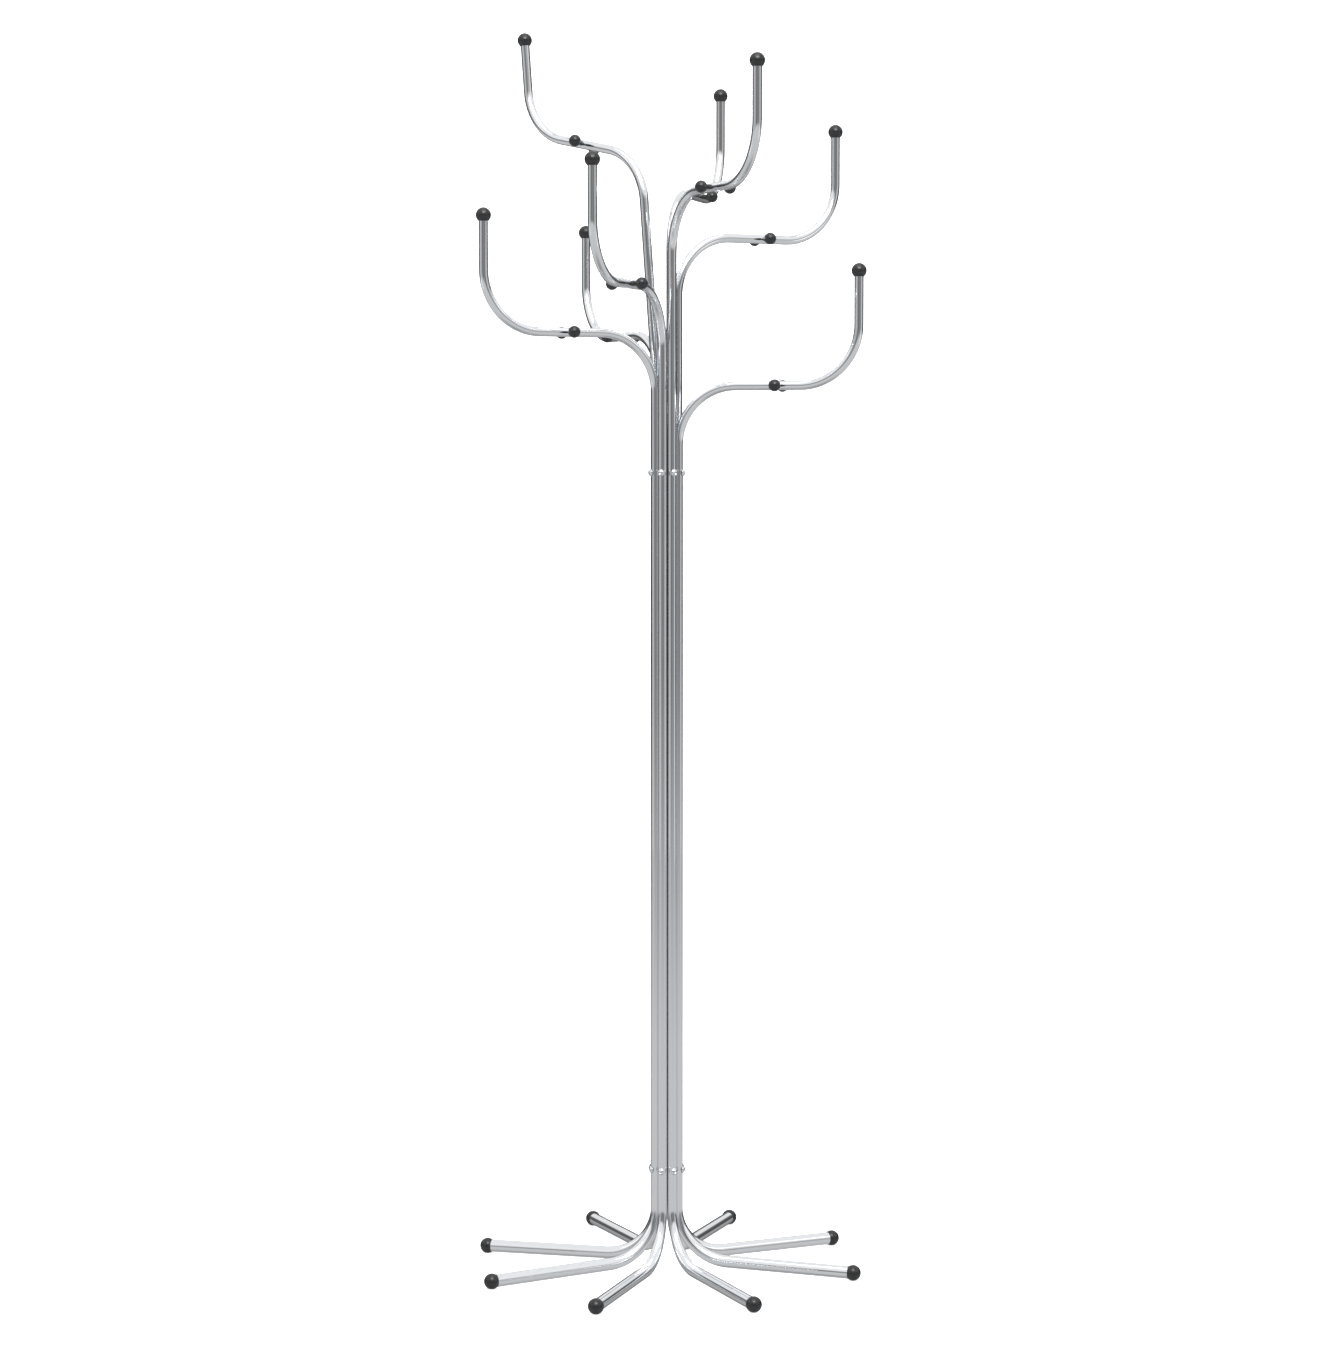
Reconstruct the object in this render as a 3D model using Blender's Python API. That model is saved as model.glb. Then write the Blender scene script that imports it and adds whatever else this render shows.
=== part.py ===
"""Standing coat rack: eight bent tubes bundled into a column, each one a foot below and a hooked arm above.

Metres, +Z up. The origin is on the column's axis at floor level, and the front is towards -Y.
"""

import math
from collections import namedtuple

import bmesh
import bpy
from mathutils import Matrix, Vector

# ---- column -------------------------------------------------------------------------------
TUBE_R = 0.0070
TUBE_WALL = 0.0012
TUBE_GAP = 0.0004            # clear space between neighbouring tubes in the bundle
FIRST_AZIMUTH = 22.5         # degrees from -Y towards +X

# ---- feet ---------------------------------------------------------------------------------
FOOT_REACH = 0.2955          # column axis to the centre of a foot ball
FOOT_R = 0.0095              # the swaged foot end is fatter than the column tube
FOOT_BEND_R = 0.080
FOOT_SLOPE = 1.0             # degrees, falling outwards
FOOT_BALL_R = 0.0120
FOOT_BALL_FLAT = 0.0006      # how far the ball's underside is cut back where it stands

# ---- arms ---------------------------------------------------------------------------------
ARM_BEND_R = 0.090
ARM_STRETCH = 0.1007         # straight between the two bends of an arm
ARM_TIP = 0.080              # straight from the upper bend to the ball's centre
ARM_BALL_R = 0.0114
ARM_COLLAR_R = 0.0078
ARM_COLLAR_DROP = 0.0086     # the collar's lower face below the ball's centre
LEAN_START = 1.380           # height where a leaning tube leaves the bundle
LEAN_BEND_R = 0.300

# One row for each tube, anticlockwise from above. Height is the arm ball's centre, and peg is
# how far along the arm's straight stretch its stud sits. The rest are degrees: the stud's roll
# round the stretch, how far the arm and the foot are turned out of their tube's own radius, how
# far a tube leans and how its arm rises.
Tube = namedtuple("Tube", "height peg peg_roll arm_turn foot_turn lean rise")
TUBES = (
    Tube(1.815, 0.057, 0.0, 0.0, 0.0, 0.0, 0.0),
    Tube(1.527, 0.067, 0.0, 2.6, 3.2, 0.0, 0.0),
    Tube(1.754, 0.059, 0.0, 3.4, 2.2, 0.0, 0.0),
    Tube(1.825, 0.057, 0.0, 2.9, -0.8, 0.0, 0.0),
    Tube(1.607, 0.057, 0.0, 0.0, -1.7, 0.0, 0.0),
    Tube(1.900, 0.052, 12.0, -21.6, 2.1, 5.1, 11.6),
    Tube(1.606, 0.055, 0.0, 0.0, 1.4, 0.0, 0.0),
    Tube(1.674, 0.057, 0.0, -1.4, -1.2, 0.0, 0.0),
)

# ---- pegs: a stud across each arm with a knob at either end ------------------------------
PEG_KNOB_R = 0.0092
PEG_KNOB_OUT = 0.0235        # arm axis to the knob's centre
PEG_NECK_R = 0.0036
PEG_STUD_R = 0.0018
PEG_HOLE_DEPTH = 0.0060      # blind hole in the far knob, past its neck

# ---- fixings ------------------------------------------------------------------------------
SCREW_HEIGHTS = {"lower": 0.154, "upper": 1.226}
SCREW_R = 0.0025
SCREW_HEAD_R = 0.0053
SCREW_HEAD_RISE = 0.0038
SCREW_LIP = 0.0008           # straight rim below the dome
SOCKET_R = 0.0018            # hexagon socket, corner to centre
SOCKET_DEPTH = 0.0020
HUB_HEIGHT = 0.024
HUB_BORE_R = 0.0045
HUB_WEB = 0.0003             # left between the floors of neighbouring screw holes

# ---- fits and facets ----------------------------------------------------------------------
CLEARANCE = 0.0003           # between the faces of pieces that meet
FIT = 0.0004                 # between a hole's corners and the screw or stud in it
SPIGOT_FIT = 0.0007          # between the bore's corners and a ball's spigot
SPIGOT_LENGTH = 0.0140
CUT_OVERRUN = 0.0040         # a through hole's cutter, longer than the tube is thick
TUBE_SIDES = 10
TURNED_SIDES = 10
FOOT_BALL_SIDES = 16         # enough for the flat to cut into the lowest facets
HUB_SIDES = 16
BEND_STEPS = 5               # each count of steps is for one bend or one arc
LEAN_STEPS = 2
ARM_BALL_STEPS = 5
FOOT_BALL_STEPS = 6
KNOB_STEPS = 4
DOME_STEPS = 2

UP = Vector((0.0, 0.0, 1.0))
OUT = Vector((1.0, 0.0, 0.0))
TUBE_COUNT = len(TUBES)
PITCH_R = (TUBE_R + TUBE_GAP / 2) / math.sin(math.pi / TUBE_COUNT)
FOOT_BALL_HEIGHT = FOOT_BALL_R - FOOT_BALL_FLAT
FOOT_FACE = math.sqrt(FOOT_BALL_R ** 2 - FOOT_R ** 2)
HUB_R = PITCH_R - TUBE_R - CLEARANCE
HUB_FLOOR_R = (SCREW_R + FIT + HUB_WEB / 2) / math.sin(math.pi / TUBE_COUNT)
Station = namedtuple("Station", "place heading radius")


# ---- scene and materials ------------------------------------------------------------------
def clear_scene():
    for obj in list(bpy.data.objects):
        bpy.data.objects.remove(obj, do_unlink=True)


def make_material(name, color, metallic, roughness):
    material = bpy.data.materials.new(name)
    material.use_nodes = True
    shader = material.node_tree.nodes["Principled BSDF"]
    shader.inputs["Base Color"].default_value = (*color, 1.0)
    shader.inputs["Metallic"].default_value = metallic
    shader.inputs["Roughness"].default_value = roughness
    material.diffuse_color = (*color, 1.0)
    return material


def add_object(name, mesh, material, parent, matrix):
    mesh.materials.append(material)
    obj = bpy.data.objects.new(name, mesh)
    bpy.context.scene.collection.objects.link(obj)
    obj.parent = parent
    obj.matrix_local = matrix
    return obj


def finish_mesh(name, bm):
    bmesh.ops.recalc_face_normals(bm, faces=bm.faces)
    mesh = bpy.data.meshes.new(name)
    bm.to_mesh(mesh)
    bm.free()
    mesh.shade_smooth()
    mesh.set_sharp_from_angle(angle=math.radians(38))
    return mesh


def placed(origin, direction):
    """A frame at origin whose +Z points along direction and whose Y lies level where it can."""
    turn = direction.to_track_quat("Z", "Y").to_matrix().to_4x4()
    return Matrix.Translation(origin) @ turn


# ---- turned pieces ------------------------------------------------------------------------
def turned(profile, sides):
    """A solid of revolution about Z from (radius, z) points, axis to axis or a loop clear of the axis."""
    bm = bmesh.new()
    points = [bm.verts.new((radius, 0.0, z)) for radius, z in profile]
    edges = [bm.edges.new(pair) for pair in zip(points, points[1:])]
    if profile[0][0] > 0:
        edges.append(bm.edges.new((points[-1], points[0])))
    bmesh.ops.spin(bm, geom=points + edges, cent=(0, 0, 0), axis=UP, angle=math.tau, steps=sides,
                   use_merge=True, use_duplicate=False)
    bmesh.ops.remove_doubles(bm, verts=bm.verts, dist=1e-6)
    return bm


def arc(radius, start, end, steps, centre=0.0):
    """Points on a circle centred on the axis; the angles are in degrees down from +Z."""
    angles = [math.radians(start + (end - start) * i / steps) for i in range(steps + 1)]
    return [(radius * math.sin(a) if 0 < a < math.pi else 0.0, centre + radius * math.cos(a)) for a in angles]


def ball_profile(ball_r, neck_r, neck_end, spigot_r, spigot_end, steps):
    """A ball at the origin, a neck below it and a spigot below that."""
    meet = 180 - math.degrees(math.asin(neck_r / ball_r))
    profile = arc(ball_r, 0, meet, steps)
    if neck_end < profile[-1][1] - 1e-6:
        profile.append((neck_r, neck_end))
    return profile + [(spigot_r, neck_end), (spigot_r, spigot_end), (0.0, spigot_end)]


# ---- tube paths ---------------------------------------------------------------------------
def go_straight(path, length):
    last = path[-1]
    path.append(Station(last.place + last.heading * length, last.heading, last.radius))


def go_round(path, heading, bend_r, end_r=None, steps=BEND_STEPS):
    """Bends the path to a new heading, easing the tube's radius to end_r on the way."""
    start = path[-1]
    end_r = start.radius if end_r is None else end_r
    angle = start.heading.angle(heading)
    inward = (heading - start.heading * heading.dot(start.heading)).normalized()
    centre = start.place + inward * bend_r
    for i in range(1, steps + 1):
        part = angle * i / steps
        place = centre - inward * bend_r * math.cos(part) + start.heading * bend_r * math.sin(part)
        along = start.heading * math.cos(part) + inward * math.sin(part)
        path.append(Station(place, along, start.radius + (end_r - start.radius) * i / steps))


def tilted(flat_direction, degrees):
    """flat_direction raised by some degrees above the level."""
    angle = math.radians(degrees)
    return flat_direction * math.cos(angle) + UP * math.sin(angle)


def turned_out(degrees):
    """The tube's own radius turned about +Z."""
    return Matrix.Rotation(math.radians(degrees), 3, "Z") @ OUT


def foot_path(tube):
    """From the foot ball's face in along the floor and up to the column; also the ball's frame."""
    out = turned_out(tube.foot_turn)
    slope = math.radians(FOOT_SLOPE)
    inward = tilted(-out, FOOT_SLOPE)
    ball = OUT * PITCH_R + out * (FOOT_REACH - PITCH_R) + UP * FOOT_BALL_HEIGHT
    to_face = FOOT_FACE + CLEARANCE
    level_run = FOOT_REACH - PITCH_R - FOOT_BEND_R * (1 - math.sin(slope))
    path = [Station(ball + inward * to_face, inward, FOOT_R)]
    go_straight(path, level_run / math.cos(slope) - to_face)
    go_round(path, UP, FOOT_BEND_R, TUBE_R)
    return path, placed(ball, -inward)


def arm_path(tube):
    """From the column up to the arm ball; also the ball's frame and the peg's, whose +Z is its stud."""
    out = turned_out(tube.arm_turn)
    stem = [Station(OUT * PITCH_R + UP * LEAN_START, UP, TUBE_R)]
    if tube.lean:
        go_round(stem, tilted(out, 90 - tube.lean), LEAN_BEND_R, steps=LEAN_STEPS)
    hook = [stem[-1]]
    go_round(hook, tilted(out, tube.rise), ARM_BEND_R)
    peg = hook[-1].place + hook[-1].heading * tube.peg
    peg_axis = Matrix.Rotation(math.radians(tube.peg_roll), 3, hook[-1].heading) @ out.cross(UP)
    go_straight(hook, ARM_STRETCH)
    go_round(hook, tilted(out, 90 - tube.lean), ARM_BEND_R)
    go_straight(hook, ARM_TIP - ARM_COLLAR_DROP - CLEARANCE)
    ball = hook[-1].place + hook[-1].heading * (ARM_COLLAR_DROP + CLEARANCE)
    lift = stem[-1].heading * (tube.height - ball.z) / stem[-1].heading.z
    hook = [Station(s.place + lift, s.heading, s.radius) for s in hook]
    path = stem + hook if tube.lean else hook
    return path, placed(ball + lift, hook[-1].heading), placed(peg + lift, peg_axis)


# ---- tubes --------------------------------------------------------------------------------
def tube_mesh(name, path):
    """A hollow tube along the path, open at both ends; its rings are carried along without twisting."""
    bm = bmesh.new()
    last = path[0].heading
    side = last.cross(UP).normalized()
    walls = ([], [])
    for station in path:
        side = last.rotation_difference(station.heading) @ side
        last = station.heading
        across = station.heading.cross(side)
        for rings, radius in zip(walls, (station.radius, station.radius - TUBE_WALL)):
            angles = [math.tau * i / TUBE_SIDES for i in range(TUBE_SIDES)]
            spokes = [side * math.cos(a) + across * math.sin(a) for a in angles]
            rings.append([bm.verts.new(station.place + spoke * radius) for spoke in spokes])
    outer, inner = walls
    loop = outer + inner[::-1] + outer[:1]
    for near, far in zip(loop, loop[1:]):
        for i in range(TUBE_SIDES):
            j = (i + 1) % TUBE_SIDES
            bm.faces.new((near[i], near[j], far[j], far[i]))
    return finish_mesh(name, bm)


def add_cutter(target, holes):
    """Cuts holes out of the target, each (frame, radius, length, sides), centred on its frame's Z."""
    bm = bmesh.new()
    for frame, radius, length, sides in holes:
        bmesh.ops.create_cone(bm, cap_ends=True, segments=sides, radius1=radius, radius2=radius,
                              depth=length, matrix=frame)
    cutter = bpy.data.objects.new(f"cutter_{target.name}", finish_mesh(f"cutter_{target.name}", bm))
    bpy.context.scene.collection.objects.link(cutter)
    cutter.parent = target
    cutter.hide_render = True
    cutter.display_type = "WIRE"
    cut = target.modifiers.new("holes", "BOOLEAN")
    cut.operation = "DIFFERENCE"
    cut.object = cutter


def add_tube(number, row, root, chrome):
    """One bent tube with its screw and peg holes, and the frames of its foot ball, arm ball and peg."""
    foot, foot_frame = foot_path(row)
    hook, arm_frame, peg_frame = arm_path(row)
    azimuth = FIRST_AZIMUTH + (number - 1) * 360 / TUBE_COUNT
    turn = Matrix.Rotation(math.radians(azimuth - 90), 4, "Z")
    name = f"bent_tube_{number}"
    tube = add_object(name, tube_mesh(name, foot + hook), chrome, root, turn)
    through = 2 * TUBE_R + CUT_OVERRUN
    holes = [(placed(OUT * PITCH_R + UP * height, OUT), SCREW_R + FIT, through, TURNED_SIDES)
             for height in SCREW_HEIGHTS.values()]
    holes.append((peg_frame, PEG_STUD_R + FIT, through, TURNED_SIDES))
    add_cutter(tube, holes)
    return tube, foot_frame, arm_frame, peg_frame


# ---- balls and pegs -----------------------------------------------------------------------
def arm_ball_mesh(name):
    spigot_r = TUBE_R - TUBE_WALL - SPIGOT_FIT
    foot = -ARM_COLLAR_DROP
    profile = ball_profile(ARM_BALL_R, ARM_COLLAR_R, foot, spigot_r, foot - SPIGOT_LENGTH,
                           ARM_BALL_STEPS)
    return finish_mesh(name, turned(profile, TURNED_SIDES))


def foot_ball_mesh(name, down):
    """A ball flat against its tube and cut level on its underside, where it stands."""
    spigot_r = FOOT_R - TUBE_WALL - SPIGOT_FIT
    profile = ball_profile(FOOT_BALL_R, FOOT_R, -FOOT_FACE, spigot_r, -FOOT_FACE - SPIGOT_LENGTH,
                           FOOT_BALL_STEPS)
    bm = turned(profile, FOOT_BALL_SIDES)
    everything = bm.verts[:] + bm.edges[:] + bm.faces[:]
    cut = bmesh.ops.bisect_plane(bm, geom=everything, dist=1e-7, plane_co=down * FOOT_BALL_HEIGHT,
                                 plane_no=down, clear_outer=True)
    rim = [edge for edge in cut["geom_cut"] if isinstance(edge, bmesh.types.BMEdge)]
    bmesh.ops.contextual_create(bm, geom=rim)
    return finish_mesh(name, bm)


def peg_knob_mesh(name, end_r, end):
    """A knob and its neck: a stud below the neck, or a blind hole up into it."""
    neck_end = TUBE_R + CLEARANCE - PEG_KNOB_OUT
    profile = ball_profile(PEG_KNOB_R, PEG_NECK_R, neck_end, end_r, neck_end + end, KNOB_STEPS)
    return finish_mesh(name, turned(profile, TURNED_SIDES))


def add_balls(number, tube, foot_frame, arm_frame, black):
    name = f"arm_ball_{number}"
    add_object(name, arm_ball_mesh(name), black, tube, arm_frame)
    name = f"foot_ball_{number}"
    down = foot_frame.to_3x3().inverted() @ -UP
    add_object(name, foot_ball_mesh(name, down), black, tube, foot_frame)


def add_pegs(number, tube, peg_frame, black):
    """The near knob carries the stud, which passes through the tube into the far knob."""
    stud = 2 * (TUBE_R + CLEARANCE) + PEG_HOLE_DEPTH - CLEARANCE
    knob_frame = Matrix.Translation(UP * PEG_KNOB_OUT)
    about_face = Matrix.Rotation(math.pi, 4, "X")
    name = f"peg_knob_stud_{number}"
    add_object(name, peg_knob_mesh(name, PEG_STUD_R, -stud), black, tube, peg_frame @ knob_frame)
    name = f"peg_knob_cap_{number}"
    mesh = peg_knob_mesh(name, PEG_STUD_R + FIT, PEG_HOLE_DEPTH)
    add_object(name, mesh, black, tube, peg_frame @ about_face @ knob_frame)


# ---- screws and hubs ----------------------------------------------------------------------
def screw_mesh(name):
    """A domed button head on +Z, seated at z = 0, with the shank below."""
    dome = SCREW_HEAD_RISE - SCREW_LIP
    dome_r = (SCREW_HEAD_R ** 2 + dome ** 2) / (2 * dome)
    edge = math.degrees(math.asin(SCREW_HEAD_R / dome_r))
    tip = HUB_FLOOR_R + CLEARANCE - (PITCH_R + TUBE_R + CLEARANCE)
    profile = arc(dome_r, 0, edge, DOME_STEPS, SCREW_HEAD_RISE - dome_r)
    profile += [(SCREW_HEAD_R, 0.0), (SCREW_R, 0.0), (SCREW_R, tip), (0.0, tip)]
    return finish_mesh(name, turned(profile, TURNED_SIDES))


def add_screws(number, tube, steel):
    for level, height in SCREW_HEIGHTS.items():
        name = f"{level}_screw_{number}"
        seat = OUT * (PITCH_R + TUBE_R + CLEARANCE) + UP * height
        screw = add_object(name, screw_mesh(name), steel, tube, placed(seat, OUT))
        add_cutter(screw, [(Matrix.Translation(UP * SCREW_HEAD_RISE), SOCKET_R, 2 * SOCKET_DEPTH, 6)])


def add_hub(level, height, root, dark_steel):
    """The core inside the bundle that the screws pull the tubes against."""
    half = HUB_HEIGHT / 2
    profile = [(HUB_BORE_R, -half), (HUB_R, -half), (HUB_R, half), (HUB_BORE_R, half)]
    name = f"{level}_hub_core"
    facet = Matrix.Rotation(math.pi / HUB_SIDES, 4, "Z")
    mesh = finish_mesh(name, turned(profile, HUB_SIDES))
    hub = add_object(name, mesh, dark_steel, root, Matrix.Translation(UP * height) @ facet)
    holes = []
    for number in range(TUBE_COUNT):
        azimuth = math.radians(FIRST_AZIMUTH + number * 360 / TUBE_COUNT - 90) - math.pi / HUB_SIDES
        out = Vector((math.cos(azimuth), math.sin(azimuth), 0.0))
        frame = placed(out * (HUB_FLOOR_R + HUB_R / 2), out)
        holes.append((frame, SCREW_R + FIT, HUB_R, TURNED_SIDES))
    add_cutter(hub, holes)


# ---- assembly -----------------------------------------------------------------------------
def build():
    clear_scene()
    root = bpy.data.objects.new("coat_rack", None)
    bpy.context.scene.collection.objects.link(root)
    chrome = make_material("chromed_steel_tube", (0.82, 0.83, 0.84), 1.0, 0.08)
    black = make_material("black_moulded_plastic", (0.012, 0.012, 0.013), 0.0, 0.28)
    steel = make_material("chromed_screw_head", (0.78, 0.79, 0.80), 1.0, 0.12)
    dark_steel = make_material("zinc_plated_core", (0.40, 0.40, 0.41), 1.0, 0.45)
    for number, row in enumerate(TUBES, start=1):
        tube, foot_frame, arm_frame, peg_frame = add_tube(number, row, root, chrome)
        add_balls(number, tube, foot_frame, arm_frame, black)
        add_pegs(number, tube, peg_frame, black)
        add_screws(number, tube, steel)
    for level, height in SCREW_HEIGHTS.items():
        add_hub(level, height, root, dark_steel)


build()
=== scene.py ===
# Standing coat rack: eight chromed tubes bundled into a column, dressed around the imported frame.
import math

import bpy
from mathutils import Matrix, Vector


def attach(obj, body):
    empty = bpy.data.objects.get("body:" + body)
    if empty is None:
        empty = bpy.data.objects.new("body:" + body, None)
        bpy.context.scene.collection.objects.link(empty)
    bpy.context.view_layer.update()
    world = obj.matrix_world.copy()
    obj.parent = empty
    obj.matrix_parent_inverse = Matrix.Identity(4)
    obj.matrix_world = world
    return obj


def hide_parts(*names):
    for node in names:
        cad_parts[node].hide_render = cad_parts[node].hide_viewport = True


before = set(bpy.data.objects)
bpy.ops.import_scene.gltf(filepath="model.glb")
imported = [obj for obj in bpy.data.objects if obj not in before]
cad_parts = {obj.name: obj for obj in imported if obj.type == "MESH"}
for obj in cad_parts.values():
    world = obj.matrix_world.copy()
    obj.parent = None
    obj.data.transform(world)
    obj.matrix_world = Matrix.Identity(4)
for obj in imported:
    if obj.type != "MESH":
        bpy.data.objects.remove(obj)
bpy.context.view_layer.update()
rootBody = "root"
up = Vector((0.0, 0.0, 1.0))
outward = Vector((1.0, 0.0, 0.0))
print("frame loaded:", len(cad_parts), "nodes")


# helpers shared by every piece
def srgb(code):   # hex colour to linear
    channels = [int(code[i:i + 2], 16) / 255 for i in (0, 2, 4)]
    return tuple(c / 12.92 if c <= 0.04045 else ((c + 0.055) / 1.055) ** 2.4 for c in channels) + (1.0,)


def addNode(tree, kind, settings=None, values=None, links=None):   # one node with what goes into it
    node = tree.nodes.new(kind)
    for key, value in (settings or {}).items():
        setattr(node, key, value)
    for key, value in (values or {}).items():
        node.inputs[key].default_value = value
    for key, socket in (links or {}).items():
        tree.links.new(socket, node.inputs[key])
    return node


def rampStops(ramp, stops):   # grey stops of a colour ramp: (position, brightness)
    elements = ramp.color_ramp.elements
    while len(elements) < len(stops):
        elements.new(0.5)
    for element, (position, grey) in zip(elements, stops):
        element.position = position
        element.color = (grey, grey, grey, 1.0)


def newMaterial(name):
    material = bpy.data.materials.new(name)
    material.use_nodes = True
    return material, material.node_tree, material.node_tree.nodes["Principled BSDF"]


def colourMix(tree, share, first, second):   # the socket with the mixed colour
    mix = addNode(tree, "ShaderNodeMix", {"data_type": "RGBA"}, None, {"Factor": share})
    sockets = {socket.identifier: socket for socket in mix.inputs}
    sockets["A_Color"].default_value = srgb(first)
    sockets["B_Color"].default_value = srgb(second)
    return {socket.identifier: socket for socket in mix.outputs}["Result_Color"]


def spreadOver(tree, value, given, wanted):   # one range of values spread over another
    (givenLow, givenHigh), (low, high) = given, wanted
    return addNode(tree, "ShaderNodeMapRange", None,
                   {"From Min": givenLow, "From Max": givenHigh, "To Min": low, "To Max": high}, {"Value": value})


def linkedObject(name, data):
    obj = bpy.data.objects.new(name, data)
    bpy.context.scene.collection.objects.link(obj)
    return obj


# finishes
chromeLook = {
    "colour": "E9EBEE",        # bright, very slightly cool
    "roughness": (0.045, 0.10),
    "drawLine": 0.0016,        # metres between polishing lines round the tube
    "haze": 0.045,             # metres across a patch of faint haze
    "bump": (0.05, 0.00004),   # strength, and depth in metres
    "lineStretch": 0.04,       # how much slower the lines change along the tube than round it
    "spread": (0.12, 0.42),    # where the noise's product lies
}


def chromedSteelTube():   # bright nickel-chrome over polished steel, with faint lines along the tube
    material, tree, shader = newMaterial("chromedSteelTube")
    place = addNode(tree, "ShaderNodeAttribute", {"attribute_name": "tubeSpace"})
    stretched = addNode(tree, "ShaderNodeVectorMath", {"operation": "MULTIPLY"},
                        {1: (1.0, 1.0, chromeLook["lineStretch"])},
                        {0: place.outputs["Vector"]})
    lines = addNode(tree, "ShaderNodeTexNoise", None,
                    {"Scale": 1 / chromeLook["drawLine"], "Detail": 3.0, "Roughness": 0.55},
                    {"Vector": stretched.outputs["Vector"]})
    haze = addNode(tree, "ShaderNodeTexNoise", None, {"Scale": 1 / chromeLook["haze"], "Detail": 4.0},
                   {"Vector": place.outputs["Vector"]})
    both = addNode(tree, "ShaderNodeMath", {"operation": "MULTIPLY"}, None,
                   {0: lines.outputs["Fac"], 1: haze.outputs["Fac"]})
    rough = spreadOver(tree, both.outputs[0], chromeLook["spread"], chromeLook["roughness"])
    strength, depth = chromeLook["bump"]
    bump = addNode(tree, "ShaderNodeBump", None, {"Strength": strength, "Distance": depth},
                   {"Height": lines.outputs["Fac"]})
    shader.inputs["Base Color"].default_value = srgb(chromeLook["colour"])
    shader.inputs["Metallic"].default_value = 1.0
    tree.links.new(rough.outputs["Result"], shader.inputs["Roughness"])
    tree.links.new(bump.outputs["Normal"], shader.inputs["Normal"])
    return material


plasticLook = {
    "dark": "131415",
    "light": "1B1C1E",
    "roughness": (0.24, 0.33),
    "grain": 0.0009,           # spark-eroded mould grain is near 0.1 mm; drawn coarser so that it shows
    "bump": (0.12, 0.00006),
    "spread": (0.3, 0.7),
    "swirl": 55.0,             # flow marks near 18 mm
    "ior": 1.53,
}


def blackMouldedNylon():   # black moulded nylon: a soft sheen, faint mould grain and flow marks
    material, tree, shader = newMaterial("blackMouldedNylon")
    place = addNode(tree, "ShaderNodeTexCoord")
    grain = addNode(tree, "ShaderNodeTexNoise", None,
                    {"Scale": 1 / plasticLook["grain"], "Detail": 5.0, "Roughness": 0.6},
                    {"Vector": place.outputs["Object"]})
    flow = addNode(tree, "ShaderNodeTexNoise", None, {"Scale": plasticLook["swirl"], "Detail": 2.0},
                   {"Vector": place.outputs["Object"]})
    colour = colourMix(tree, flow.outputs["Fac"], plasticLook["dark"], plasticLook["light"])
    rough = spreadOver(tree, grain.outputs["Fac"], plasticLook["spread"], plasticLook["roughness"])
    strength, depth = plasticLook["bump"]
    bump = addNode(tree, "ShaderNodeBump", None, {"Strength": strength, "Distance": depth},
                   {"Height": grain.outputs["Fac"]})
    shader.inputs["IOR"].default_value = plasticLook["ior"]
    tree.links.new(colour, shader.inputs["Base Color"])
    tree.links.new(rough.outputs["Result"], shader.inputs["Roughness"])
    tree.links.new(bump.outputs["Normal"], shader.inputs["Normal"])
    return material


screwLook = {"colour": "E4E6E9", "roughness": (0.08, 0.18), "turning": 0.0007, "bump": (0.06, 0.00003),
             "spread": (0.3, 0.7)}


def chromedScrewSteel():   # chromed button-head screw: bright, with a trace of turning marks
    material, tree, shader = newMaterial("chromedScrewSteel")
    place = addNode(tree, "ShaderNodeTexCoord")
    marks = addNode(tree, "ShaderNodeTexNoise", None, {"Scale": 1 / screwLook["turning"], "Detail": 4.0},
                    {"Vector": place.outputs["Object"]})
    rough = spreadOver(tree, marks.outputs["Fac"], screwLook["spread"], screwLook["roughness"])
    strength, depth = screwLook["bump"]
    bump = addNode(tree, "ShaderNodeBump", None, {"Strength": strength, "Distance": depth},
                   {"Height": marks.outputs["Fac"]})
    shader.inputs["Base Color"].default_value = srgb(screwLook["colour"])
    shader.inputs["Metallic"].default_value = 1.0
    tree.links.new(rough.outputs["Result"], shader.inputs["Roughness"])
    tree.links.new(bump.outputs["Normal"], shader.inputs["Normal"])
    return material


coreLook = {"pale": "A9ABAC", "dull": "7F8285", "roughness": (0.38, 0.55), "spangle": 0.004}


def zincPlatedCore():   # barrel zinc plate over turned steel: dull grey with a mottled spangle
    material, tree, shader = newMaterial("zincPlatedCore")
    place = addNode(tree, "ShaderNodeTexCoord")
    spangle = addNode(tree, "ShaderNodeTexVoronoi", None, {"Scale": 1 / coreLook["spangle"]},
                      {"Vector": place.outputs["Object"]})
    colour = colourMix(tree, spangle.outputs["Distance"], coreLook["pale"], coreLook["dull"])
    rough = spreadOver(tree, spangle.outputs["Distance"], (0.0, 1.0), coreLook["roughness"])
    shader.inputs["Metallic"].default_value = 1.0
    tree.links.new(colour, shader.inputs["Base Color"])
    tree.links.new(rough.outputs["Result"], shader.inputs["Roughness"])
    return material


chrome = chromedSteelTube()
nylon = blackMouldedNylon()
screwSteel = chromedScrewSteel()
zincCore = zincPlatedCore()
print("materials made")


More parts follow.
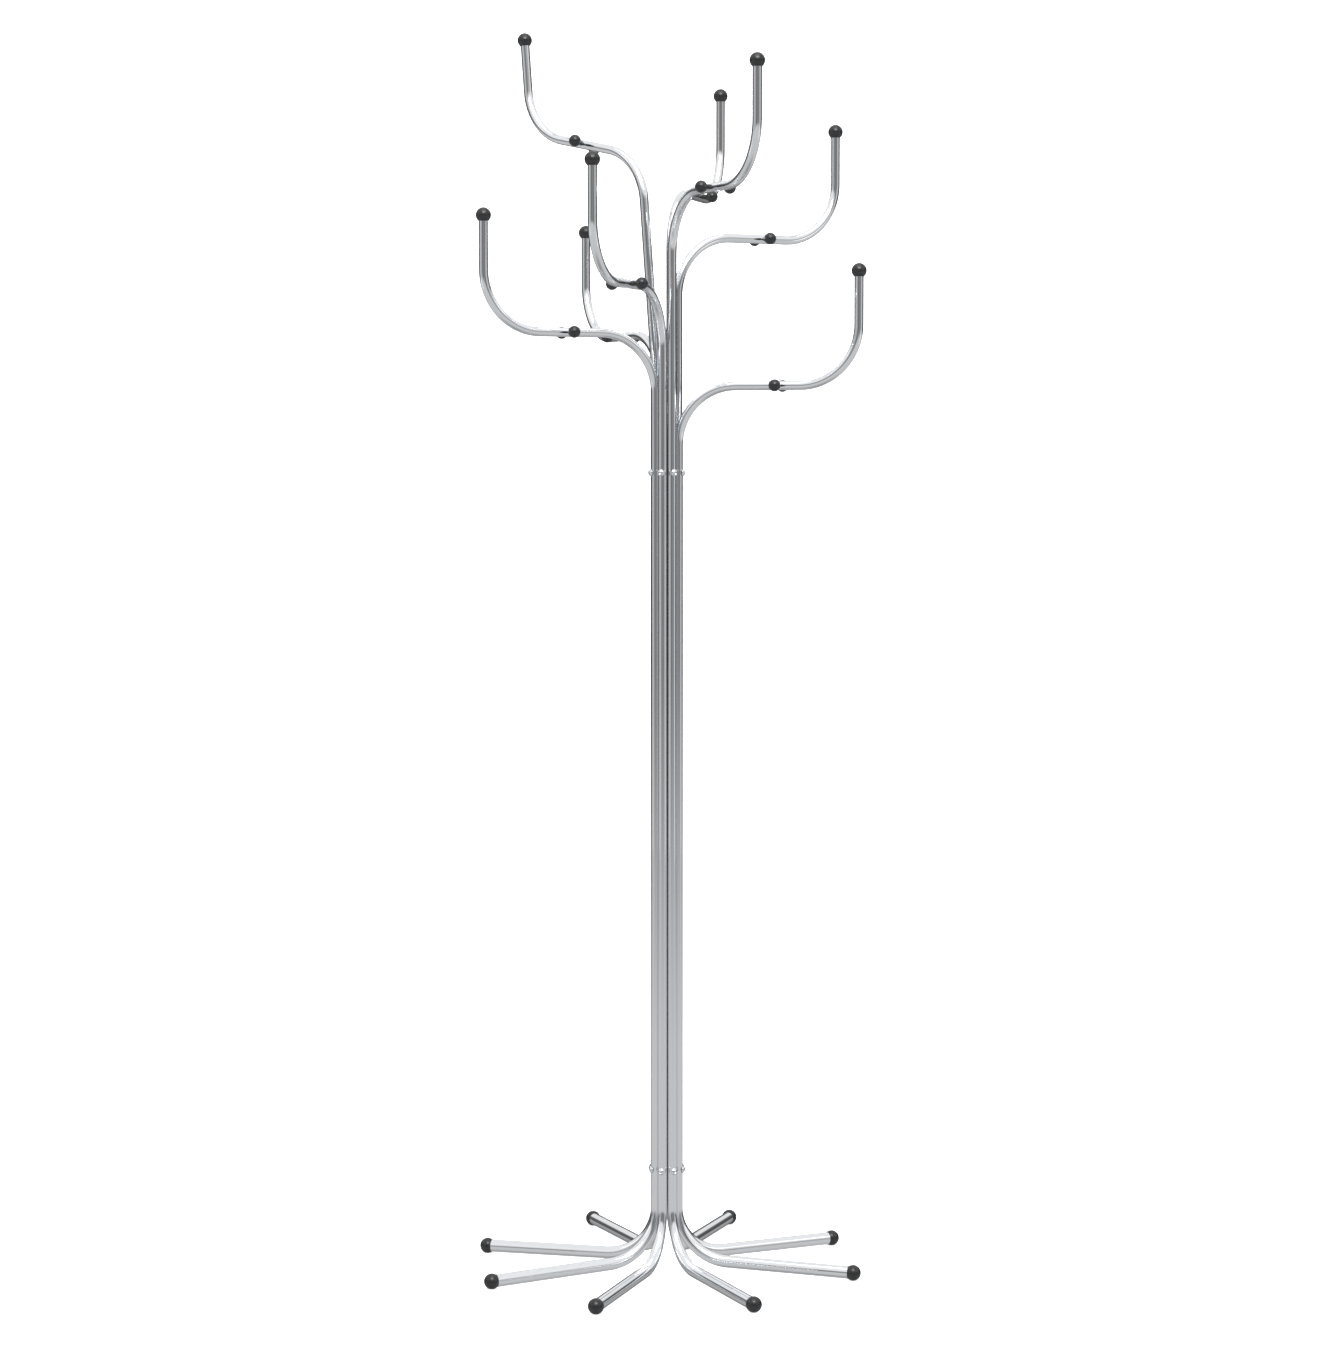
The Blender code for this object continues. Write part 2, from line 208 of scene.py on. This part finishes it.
# the tubes' centre lines
tubes = {
    "radius": 0.0070, "wall": 0.0012, "gap": 0.0004, "firstAzimuth": 22.5,
    "footReach": 0.2955, "footRadius": 0.0095, "footBend": 0.080, "footSlope": 1.0,
    "armBend": 0.090, "armStretch": 0.1007, "armTip": 0.080, "leanStart": 1.380, "leanBend": 0.300,
    "clearance": 0.0003, "sides": 40, "degreesPerRing": 3.0, "sharp": 40,
    # each row: ball height, peg along the stretch, then degrees: peg roll, arm turn, foot turn, lean, rise
    "rows": (
        (1.815, 0.057, 0.0, 0.0, 0.0, 0.0, 0.0),
        (1.527, 0.067, 0.0, 2.6, 3.2, 0.0, 0.0),
        (1.754, 0.059, 0.0, 3.4, 2.2, 0.0, 0.0),
        (1.825, 0.057, 0.0, 2.9, -0.8, 0.0, 0.0),
        (1.607, 0.057, 0.0, 0.0, -1.7, 0.0, 0.0),
        (1.900, 0.052, 12.0, -21.6, 2.1, 5.1, 11.6),
        (1.606, 0.055, 0.0, 0.0, 1.4, 0.0, 0.0),
        (1.674, 0.057, 0.0, -1.4, -1.2, 0.0, 0.0),
    ),
}
balls = {"arm": 0.0114, "collar": 0.0078, "collarDrop": 0.0086, "collarRound": 0.0003,
         "foot": 0.0120, "footFlat": 0.0006, "spigotFit": 0.0007, "spigotLength": 0.0140,
         "sides": 48, "rings": 26, "sharp": 35}
tubeCount = len(tubes["rows"])
pitchRadius = (tubes["radius"] + tubes["gap"] / 2) / math.sin(math.pi / tubeCount)


def tilted(flat, degrees):   # a level direction raised above the level
    angle = math.radians(degrees)
    return flat * math.cos(angle) + up * math.sin(angle)


def goStraight(path, length, pieces=1):
    place, heading, radius = path[-1]
    for i in range(1, pieces + 1):
        path.append((place + heading * length * i / pieces, heading, radius))


def goRound(path, heading, bend, endRadius=None):   # a bend, easing the tube's own radius on the way
    place, start, radius = path[-1]
    endRadius = endRadius or radius
    angle = start.angle(heading)
    inward = (heading - start * heading.dot(start)).normalized()
    centre = place + inward * bend
    rings = max(2, round(math.degrees(angle) / tubes["degreesPerRing"]))
    for i in range(1, rings + 1):
        part = angle * i / rings
        ease = (1 - math.cos(math.pi * i / rings)) / 2
        path.append((centre - inward * bend * math.cos(part) + start * bend * math.sin(part),
                     start * math.cos(part) + inward * math.sin(part), radius + (endRadius - radius) * ease))


def tubePath(row):   # foot end to arm end, and where the balls and the peg go
    height, pegAlong, pegRoll, armTurn, footTurn, lean, rise = row
    footOut = Matrix.Rotation(math.radians(footTurn), 3, "Z") @ outward
    slope = math.radians(tubes["footSlope"])
    inward = tilted(-footOut, tubes["footSlope"])
    footBall = (outward * pitchRadius + footOut * (tubes["footReach"] - pitchRadius)
                + up * (balls["foot"] - balls["footFlat"]))
    toFace = math.sqrt(balls["foot"] ** 2 - tubes["footRadius"] ** 2) + tubes["clearance"]
    run = tubes["footReach"] - pitchRadius - tubes["footBend"] * (1 - math.sin(slope))
    path = [(footBall + inward * toFace, inward, tubes["footRadius"])]
    goStraight(path, run / math.cos(slope) - toFace, 4)
    goRound(path, up, tubes["footBend"], tubes["radius"])

    armOut = Matrix.Rotation(math.radians(armTurn), 3, "Z") @ outward
    stem = [(outward * pitchRadius + up * tubes["leanStart"], up, tubes["radius"])]
    if lean:
        goRound(stem, tilted(armOut, 90 - lean), tubes["leanBend"])
    hook = [stem[-1]]
    goRound(hook, tilted(armOut, rise), tubes["armBend"])
    peg = hook[-1][0] + hook[-1][1] * pegAlong
    pegAxis = Matrix.Rotation(math.radians(pegRoll), 3, hook[-1][1]) @ armOut.cross(up)
    goStraight(hook, tubes["armStretch"], 4)
    goRound(hook, tilted(armOut, 90 - lean), tubes["armBend"])
    goStraight(hook, tubes["armTip"] - balls["collarDrop"] - tubes["clearance"], 3)
    armBall = hook[-1][0] + hook[-1][1] * (balls["collarDrop"] + tubes["clearance"])
    lift = stem[-1][1] * (height - armBall.z) / stem[-1][1].z
    hook = [(place + lift, heading, radius) for place, heading, radius in hook]
    column = stem if lean else []
    return path + column + hook, (footBall, -inward), (armBall + lift, hook[-1][1]), (peg + lift, pegAxis)


def tubeTurn(index):   # from a tube's own frame to its place round the column
    return Matrix.Rotation(math.radians(tubes["firstAzimuth"] + index * 360 / tubeCount - 90), 4, "Z")


# bent tubes: one node tree sweeps a ring along each tube's path
def treeInput(tree, name, kind, value=None):
    socket = tree.interface.new_socket(name=name, in_out="INPUT", socket_type=kind)
    if value is not None:
        socket.default_value = value
    return socket


def bentTubeTree():
    tree = bpy.data.node_groups.new("bentTube", "GeometryNodeTree")
    treeInput(tree, "Path", "NodeSocketGeometry")
    treeInput(tree, "Sides", "NodeSocketInt", 24)
    treeInput(tree, "Finish", "NodeSocketMaterial")
    tree.interface.new_socket(name="Tube", in_out="OUTPUT", socket_type="NodeSocketGeometry")
    given = addNode(tree, "NodeGroupInput")
    along = addNode(tree, "GeometryNodeSplineParameter")
    keepLength = tree.nodes.new("GeometryNodeCaptureAttribute")
    keepLength.capture_items.new("FLOAT", "Length")
    keepLength.capture_items.new("FLOAT", "Radius")
    ownRadius = addNode(tree, "GeometryNodeInputNamedAttribute", {"data_type": "FLOAT"}, {"Name": "tubeRadius"})
    line = addNode(tree, "GeometryNodeMeshToCurve", None, None, {"Mesh": given.outputs["Path"]})
    tree.links.new(line.outputs["Curve"], keepLength.inputs["Geometry"])
    tree.links.new(along.outputs["Length"], keepLength.inputs["Length"])
    tree.links.new(ownRadius.outputs["Attribute"], keepLength.inputs["Radius"])
    ring = addNode(tree, "GeometryNodeCurvePrimitiveCircle", None, {"Radius": 1.0},
                   {"Resolution": given.outputs["Sides"]})
    spot = addNode(tree, "GeometryNodeInputPosition")
    keepSpot = tree.nodes.new("GeometryNodeCaptureAttribute")
    keepSpot.capture_items.new("VECTOR", "Spot")
    tree.links.new(ring.outputs["Curve"], keepSpot.inputs["Geometry"])
    tree.links.new(spot.outputs["Position"], keepSpot.inputs["Spot"])
    sweep = addNode(tree, "GeometryNodeCurveToMesh", None, {"Fill Caps": False},
                    {"Curve": keepLength.outputs["Geometry"], "Profile Curve": keepSpot.outputs["Geometry"],
                     "Scale": keepLength.outputs["Radius"]})
    flat = addNode(tree, "ShaderNodeSeparateXYZ", None, None, {"Vector": keepSpot.outputs["Spot"]})
    sized = [addNode(tree, "ShaderNodeMath", {"operation": "MULTIPLY"}, None,
                     {0: flat.outputs[axis], 1: keepLength.outputs["Radius"]}) for axis in ("X", "Y")]
    unrolled = addNode(tree, "ShaderNodeCombineXYZ", None, None,
                       {"X": sized[0].outputs[0], "Y": sized[1].outputs[0], "Z": keepLength.outputs["Length"]})
    store = addNode(tree, "GeometryNodeStoreNamedAttribute",
                    {"data_type": "FLOAT_VECTOR", "domain": "POINT"}, {"Name": "tubeSpace"},
                    {"Geometry": sweep.outputs["Mesh"], "Value": unrolled.outputs["Vector"]})
    whole = addNode(tree, "GeometryNodeRealizeInstances", None, None, {"Geometry": store.outputs["Geometry"]})
    finish = addNode(tree, "GeometryNodeSetMaterial", None, None,
                     {"Geometry": whole.outputs["Geometry"], "Material": given.outputs["Finish"]})
    addNode(tree, "NodeGroupOutput", None, None, {"Tube": finish.outputs["Geometry"]})
    return tree


def plainMesh(source, name):   # what the nodes made, as an ordinary mesh at the origin; the source goes
    bpy.context.view_layer.update()
    result = source.evaluated_get(bpy.context.evaluated_depsgraph_get())
    mesh = bpy.data.meshes.new_from_object(result)
    mesh.name = name
    bpy.data.objects.remove(source)
    return linkedObject(name, mesh)


def giveTree(source, tree, inputs):   # inputs go in by the sockets' identifiers
    made = source.modifiers.new(tree.name, "NODES")
    made.node_group = tree
    for item in tree.interface.items_tree:
        if item.in_out == "INPUT" and item.name in inputs:
            made[item.identifier] = inputs[item.name]


def bentTube(tree, number, path, turn):
    points = [turn @ place for place, heading, radius in path]
    start = bpy.data.meshes.new("tubePath")
    start.from_pydata(points, [(i, i + 1) for i in range(len(points) - 1)], [])
    radii = start.attributes.new("tubeRadius", "FLOAT", "POINT")
    radii.data.foreach_set("value", [radius for place, heading, radius in path])
    source = linkedObject("tubePath", start)
    giveTree(source, tree, {"Sides": tubes["sides"], "Finish": chrome})
    wall = source.modifiers.new("wall", "SOLIDIFY")   # the bore
    wall.thickness = tubes["wall"]
    wall.offset = -1.0
    tube = plainMesh(source, f"bentTube{number}")
    tube.data.shade_smooth()
    tube.data.set_sharp_from_angle(angle=math.radians(tubes["sharp"]))
    return tube


def turnedMesh(name, outline, sides):   # outline is (radius, height) points from pole to pole, top first
    rings, points, faces = [], [], []
    for radius, height in outline:
        if radius < 1e-7:
            rings.append([len(points)])
            points.append((0.0, 0.0, height))
        else:
            rings.append(range(len(points), len(points) + sides))
            turns = [math.tau * i / sides for i in range(sides)]
            points += [(radius * math.cos(a), radius * math.sin(a), height) for a in turns]
    for upper, lower in zip(rings, rings[1:]):
        for i in range(sides):
            j = (i + 1) % sides
            if len(upper) == 1:
                faces.append((upper[0], lower[i], lower[j]))
            elif len(lower) == 1:
                faces.append((upper[i], lower[0], upper[j]))
            else:
                faces.append((upper[i], lower[i], lower[j], upper[j]))
    mesh = bpy.data.meshes.new(name)
    mesh.from_pydata(points, [], faces)
    mesh.shade_smooth()
    mesh.set_sharp_from_angle(angle=math.radians(balls["sharp"]))
    return mesh


def arcPoints(radius, start, end, steps, ring=0.0, height=0.0):   # degrees down from straight up
    angles = [math.radians(start + (end - start) * i / steps) for i in range(steps + 1)]
    return [(ring + radius * math.sin(a), height + radius * math.cos(a)) for a in angles]


def ballOutline(ball, neck, neckEnd, rounding, steps):   # a ball and its neck or collar, rounded at the end
    meet = 180 - math.degrees(math.asin(neck / ball))
    outline = arcPoints(ball, 0, meet, steps)
    outline[0] = (0.0, ball)
    if outline[-1][1] - neckEnd > 2 * rounding:
        outline.append((neck, neckEnd + rounding))
    return outline + arcPoints(rounding, 90, 180, 4, neck - rounding, neckEnd + rounding)[1:]


def arrayTree():   # one shape at every point, its top turned to face that point's own direction
    tree = bpy.data.node_groups.new("facingArray", "GeometryNodeTree")
    treeInput(tree, "Places", "NodeSocketGeometry")
    treeInput(tree, "Shape", "NodeSocketObject")
    treeInput(tree, "Finish", "NodeSocketMaterial")
    tree.interface.new_socket(name="Array", in_out="OUTPUT", socket_type="NodeSocketGeometry")
    given = addNode(tree, "NodeGroupInput")
    facing = addNode(tree, "GeometryNodeInputNamedAttribute", {"data_type": "FLOAT_VECTOR"}, {"Name": "facing"})
    aim = addNode(tree, "FunctionNodeAlignRotationToVector", {"axis": "Z"}, None,
                  {"Vector": facing.outputs["Attribute"]})
    shape = addNode(tree, "GeometryNodeObjectInfo", {"transform_space": "ORIGINAL"}, None,
                    {"Object": given.outputs["Shape"]})
    copies = addNode(tree, "GeometryNodeInstanceOnPoints", None, None,
                     {"Points": given.outputs["Places"], "Instance": shape.outputs["Geometry"],
                      "Rotation": aim.outputs["Rotation"]})
    whole = addNode(tree, "GeometryNodeRealizeInstances", None, None, {"Geometry": copies.outputs["Instances"]})
    finish = addNode(tree, "GeometryNodeSetMaterial", None, None,
                     {"Geometry": whole.outputs["Geometry"], "Material": given.outputs["Finish"]})
    addNode(tree, "NodeGroupOutput", None, None, {"Array": finish.outputs["Geometry"]})
    return tree


def arrayOf(tree, name, shapeMesh, spots, material):   # spots are (place, facing)
    shape = linkedObject(name + "Shape", shapeMesh)
    places = bpy.data.meshes.new(name + "Places")
    places.from_pydata([place for place, facing in spots], [], [])
    facings = places.attributes.new("facing", "FLOAT_VECTOR", "POINT")
    facings.data.foreach_set("vector", [c for place, facing in spots for c in facing])
    source = linkedObject(name + "Places", places)
    giveTree(source, tree, {"Shape": shape, "Finish": material})
    made = plainMesh(source, name)
    bpy.data.objects.remove(shape)
    return made


tubeTree = bentTubeTree()
spots = {"foot": [], "arm": [], "stud": [], "cap": [], "lower": [], "upper": []}
knobs = {"ball": 0.0092, "out": 0.0235, "neck": 0.0036, "neckRound": 0.0004, "stud": 0.0018, "hole": 0.0060,
         "fit": 0.0004, "sides": 40, "rings": 22}
screws = {"heights": {"lower": 0.154, "upper": 1.226}, "head": 0.0053, "rise": 0.0038, "lip": 0.0008,
          "shank": 0.0025, "tip": 0.0178, "socket": 0.0018, "socketDepth": 0.0020, "chamfer": 0.0003,
          "drillPoint": 0.0004, "rimRound": 0.0002, "sides": 36, "domeRings": 10, "sharp": 28}
bentTubes = []
for index, row in enumerate(tubes["rows"]):
    path, foot, arm, peg = tubePath(row)
    turn = tubeTurn(index)
    heading = turn.to_3x3()
    bentTubes.append(bentTube(tubeTree, index + 1, path, turn))
    spots["foot"].append((turn @ foot[0], heading @ foot[1]))
    spots["arm"].append((turn @ arm[0], heading @ arm[1]))
    for kind, way in (("stud", 1), ("cap", -1)):
        facing = heading @ peg[1] * way
        spots[kind].append((turn @ peg[0] + facing * knobs["out"], facing))
    for level, height in screws["heights"].items():
        seat = outward * (pitchRadius + tubes["radius"] + tubes["clearance"]) + up * height
        spots[level].append((turn @ seat, heading @ outward))
print("bent tubes swept:", len(bentTubes))


# balls, knobs and screws
facingArray = arrayTree()


def armBallMesh():
    outline = ballOutline(balls["arm"], balls["collar"], -balls["collarDrop"], balls["collarRound"],
                          balls["rings"])
    spigot = tubes["radius"] - tubes["wall"] - balls["spigotFit"]
    end = -balls["collarDrop"] - balls["spigotLength"]
    below = [(spigot, -balls["collarDrop"]), (spigot, end), (0.0, end)]
    return turnedMesh("armBall", outline + below, balls["sides"])


def footBallMesh():
    face = math.sqrt(balls["foot"] ** 2 - tubes["footRadius"] ** 2)
    meet = 180 - math.degrees(math.asin(tubes["footRadius"] / balls["foot"]))
    outline = arcPoints(balls["foot"], 0, meet, balls["rings"])
    outline[0] = (0.0, balls["foot"])
    spigot = tubes["footRadius"] - tubes["wall"] - balls["spigotFit"]
    end = -face - balls["spigotLength"]
    return turnedMesh("footBall", outline + [(spigot, -face), (spigot, end), (0.0, end)], balls["sides"])


def knobMesh(name, below):   # below is the outline under the neck's end
    neckEnd = tubes["radius"] + tubes["clearance"] - knobs["out"]
    outline = ballOutline(knobs["ball"], knobs["neck"], neckEnd, knobs["neckRound"], knobs["rings"])
    return turnedMesh(name, outline + [(r, neckEnd + h) for r, h in below], knobs["sides"])


def screwMesh():   # domed head with a six-sided socket, and its shank
    dome = screws["rise"] - screws["lip"]
    domeRadius = (screws["head"] ** 2 + dome ** 2) / (2 * dome)
    centre = screws["rise"] - domeRadius
    edge = math.degrees(math.asin(screws["head"] / domeRadius))
    inner = math.degrees(math.asin((screws["socket"] + screws["chamfer"]) / domeRadius))
    mouth = arcPoints(domeRadius, inner, edge, screws["domeRings"], 0.0, centre)
    floor = screws["rise"] - screws["socketDepth"]
    hexOutline = [(0.0, floor - screws["drillPoint"]), (screws["socket"], floor),
                  (screws["socket"], mouth[0][1] - screws["chamfer"])]
    rim = [(screws["head"], screws["rimRound"]), (screws["head"] - screws["rimRound"], 0.0)]
    shank = [(screws["shank"], 0.0), (screws["shank"], -screws["tip"]), (0.0, -screws["tip"])]
    mesh = turnedMesh("screw", hexOutline + mouth + rim + shank, screws["sides"])
    for vertex in mesh.vertices:   # the two lowest socket rings become a hexagon
        flat = math.hypot(vertex.co.x, vertex.co.y)
        if vertex.co.z > 0 and abs(flat - screws["socket"]) < 1e-6:
            wedge = (math.atan2(vertex.co.y, vertex.co.x) % (math.pi / 3)) - math.pi / 6
            squeeze = math.cos(math.pi / 6) / math.cos(wedge)
            vertex.co.x *= squeeze
            vertex.co.y *= squeeze
    mesh.set_sharp_from_angle(angle=math.radians(screws["sharp"]))
    return mesh


stud = 2 * (tubes["radius"] + tubes["clearance"]) + knobs["hole"] - tubes["clearance"]
bore = knobs["stud"] + knobs["fit"]
armBalls = arrayOf(facingArray, "armBalls", armBallMesh(), spots["arm"], nylon)
footBalls = arrayOf(facingArray, "footBalls", footBallMesh(), spots["foot"], nylon)
for vertex in footBalls.data.vertices:   # the moulded flat each ball stands on
    vertex.co.z = max(vertex.co.z, 0.0)
studKnob = knobMesh("studKnob", [(knobs["stud"], 0.0), (knobs["stud"], -stud), (0.0, -stud)])
capKnob = knobMesh("capKnob", [(bore, 0.0), (bore, knobs["hole"]), (0.0, knobs["hole"])])
studKnobs = arrayOf(facingArray, "pegKnobsWithStuds", studKnob, spots["stud"], nylon)
capKnobs = arrayOf(facingArray, "pegKnobCaps", capKnob, spots["cap"], nylon)
screwHeads = arrayOf(facingArray, "buttonScrews", screwMesh(), spots["lower"] + spots["upper"], screwSteel)
print("balls, knobs and screws placed")


# what each piece stands for
for index, tube in enumerate(bentTubes):
    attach(tube, rootBody)
    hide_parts(f"bent_tube_{index + 1}")
numbers = range(1, tubeCount + 1)
for piece, nodeNames, slotName in (
        (armBalls, [f"arm_ball_{n}" for n in numbers], "black_plastic"),
        (footBalls, [f"foot_ball_{n}" for n in numbers], "black_plastic"),
        (studKnobs, [f"peg_knob_stud_{n}" for n in numbers], "black_plastic"),
        (capKnobs, [f"peg_knob_cap_{n}" for n in numbers], "black_plastic"),
        (screwHeads, [f"{level}_screw_{n}" for level in screws["heights"] for n in numbers], "chromed_screw")):
    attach(piece, rootBody)
    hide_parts(*nodeNames)
for name in ("upper_hub_core", "lower_hub_core"):
    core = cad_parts[name]
    core.data.materials.clear()
    core.data.materials.append(zincCore)
print("pieces ride on", rootBody)


# floor, light and camera
studio = {
    "floorHalf": 9.0, "wallDistance": 3.2, "coveRadius": 1.2, "wallHeight": 6.0, "coveSteps": 16,
    "sweepColour": "F7F7F8", "sweepGlow": 0.75,
    # the room's brightness by height of direction: -1 straight down, 0 level, 1 straight up
    "heights": ((-1.0, 0.34), (-0.95, 0.40), (-0.82, 0.62), (-0.30, 0.66), (-0.12, 0.62), (0.0, 0.55),
                (0.20, 0.55), (0.34, 0.90), (0.70, 1.0), (1.0, 0.92)),
    # near level, the share of that left round the room: 0 left, 0.25 front, 0.5 right, 0.75 back
    "round": ((0.0, 0.50), (0.06, 0.80), (0.12, 0.85), (0.17, 0.42), (0.215, 0.22), (0.25, 0.50), (0.28, 0.55),
              (0.315, 0.20), (0.36, 0.70), (0.42, 0.90), (0.48, 0.30), (0.58, 0.16), (0.68, 0.22), (0.84, 0.20),
              (0.94, 0.25), (1.0, 0.50)),
    "band": (-0.17, -0.07, 0.22, 0.34),   # heights where that starts, is full, is full and ends
    "backShare": 0.25,                  # what is left behind the rack and below the level
    "backFrom": (0.50, 0.90),           # how squarely behind that starts and is full
    "backLevel": (0.04, -0.06),         # heights where that starts and is full
}


def sweepBackdrop():   # floor, cove and wall in one pale sheet
    cove = studio["coveRadius"]
    coveStart = studio["wallDistance"] - cove
    outline = [(-studio["floorHalf"], 0.0), (coveStart, 0.0)]
    for i in range(1, studio["coveSteps"] + 1):
        angle = math.pi / 2 * i / studio["coveSteps"]
        outline.append((coveStart + cove * math.sin(angle), cove * (1 - math.cos(angle))))
    outline.append((studio["wallDistance"], studio["wallHeight"]))
    half = studio["floorHalf"]
    points = [(x, y, z) for y, z in outline for x in (-half, half)]
    faces = [(2 * i, 2 * i + 1, 2 * i + 3, 2 * i + 2) for i in range(len(outline) - 1)]
    mesh = bpy.data.meshes.new("paleSweep")
    mesh.from_pydata(points, [], faces)
    mesh.shade_smooth()
    material, tree, shader = newMaterial("paleStudioPaper")   # matt seamless paper, near white
    shader.inputs["Base Color"].default_value = srgb(studio["sweepColour"])
    shader.inputs["Roughness"].default_value = 0.9
    shader.inputs["Emission Color"].default_value = srgb(studio["sweepColour"])
    shader.inputs["Emission Strength"].default_value = studio["sweepGlow"]
    mesh.materials.append(material)
    return linkedObject("paleSweep", mesh)


def studioWorld():   # a soft room: bright overhead, darker towards the horizon
    world = bpy.data.worlds.new("studioRoom")
    bpy.context.scene.world = world
    world.use_nodes = True
    tree = world.node_tree
    way = addNode(tree, "ShaderNodeTexCoord")
    height = addNode(tree, "ShaderNodeSeparateXYZ", None, None, {"Vector": way.outputs["Generated"]})
    share = spreadOver(tree, height.outputs["Z"], (-1.0, 1.0), (0.0, 1.0))
    byHeight = addNode(tree, "ShaderNodeValToRGB", None, None, {"Fac": share.outputs["Result"]})
    rampStops(byHeight, [((level + 1) / 2, grey) for level, grey in studio["heights"]])
    turn = addNode(tree, "ShaderNodeTexGradient", {"gradient_type": "RADIAL"}, None,
                   {"Vector": way.outputs["Generated"]})
    byTurn = addNode(tree, "ShaderNodeValToRGB", None, None, {"Fac": turn.outputs["Fac"]})
    rampStops(byTurn, studio["round"])
    start, full, fading, end = studio["band"]
    rising = spreadOver(tree, height.outputs["Z"], (start, full), (0.0, 1.0))
    falling = spreadOver(tree, height.outputs["Z"], (end, fading), (0.0, 1.0))
    nearLevel = addNode(tree, "ShaderNodeMath", {"operation": "MULTIPLY"}, None,
                        {0: rising.outputs["Result"], 1: falling.outputs["Result"]})
    behind = spreadOver(tree, height.outputs["Y"], studio["backFrom"], (0.0, 1 - studio["backShare"]))
    low = spreadOver(tree, height.outputs["Z"], studio["backLevel"], (0.0, 1.0))
    shade = addNode(tree, "ShaderNodeMath", {"operation": "MULTIPLY"}, None,
                    {0: behind.outputs["Result"], 1: low.outputs["Result"]})
    left = addNode(tree, "ShaderNodeMath", {"operation": "SUBTRACT"}, {0: 1.0}, {1: shade.outputs[0]})
    room = addNode(tree, "ShaderNodeMix", {"data_type": "RGBA", "blend_type": "MULTIPLY"})
    sockets = {socket.identifier: socket for socket in room.inputs}
    tree.links.new(nearLevel.outputs[0], sockets["Factor_Float"])
    tree.links.new(byHeight.outputs["Color"], sockets["A_Color"])
    tree.links.new(byTurn.outputs["Color"], sockets["B_Color"])
    ramp = {socket.identifier: socket for socket in room.outputs}["Result_Color"]
    tree.links.new(left.outputs[0], tree.nodes["Background"].inputs["Strength"])
    tree.links.new(ramp, tree.nodes["Background"].inputs["Color"])


lamps = (   # name, place, aimed at, width, height, watts
    ("overheadSoftbox", (0.0, -0.6, 4.2), (0.0, 0.0, 1.0), 2.6, 2.0, 18.0),
    ("frontSoftbox", (0.1, -3.0, 4.3), (0.0, 0.0, 1.2), 2.8, 1.9, 120.0),
    ("leftSoftbox", (-3.4, -0.8, 1.6), (0.0, 0.0, 1.2), 0.5, 2.8, 3.2),
    ("rightSoftbox", (3.2, -1.2, 1.6), (0.0, 0.0, 1.2), 0.6, 2.8, 3.4),
)
sweep = sweepBackdrop()
sweep.visible_glossy = False   # polished metal mirrors the soft room, not the sheet
studioWorld()
for name, place, target, width, height, watts in lamps:
    light = bpy.data.lights.new(name, "AREA")
    light.shape = "RECTANGLE"
    light.size = width
    light.size_y = height
    light.energy = watts
    lamp = linkedObject(name, light)
    lamp.location = place
    lamp.rotation_euler = (Vector(target) - Vector(place)).to_track_quat("-Z", "Y").to_euler()

view = {"place": (-0.2636, -4.9139, 1.253), "lens": 86.06, "down": 3.90, "right": 3.164}
cameraData = bpy.data.cameras.new("camera")
cameraData.lens = view["lens"]
cameraData.sensor_width = 36.0
camera = linkedObject("camera", cameraData)
camera.location = view["place"]
camera.rotation_euler = (math.radians(90 - view["down"]), 0.0, math.radians(-view["right"]))
bpy.context.scene.camera = camera
bpy.context.scene.view_settings.view_transform = "Standard"
print("studio and camera set")
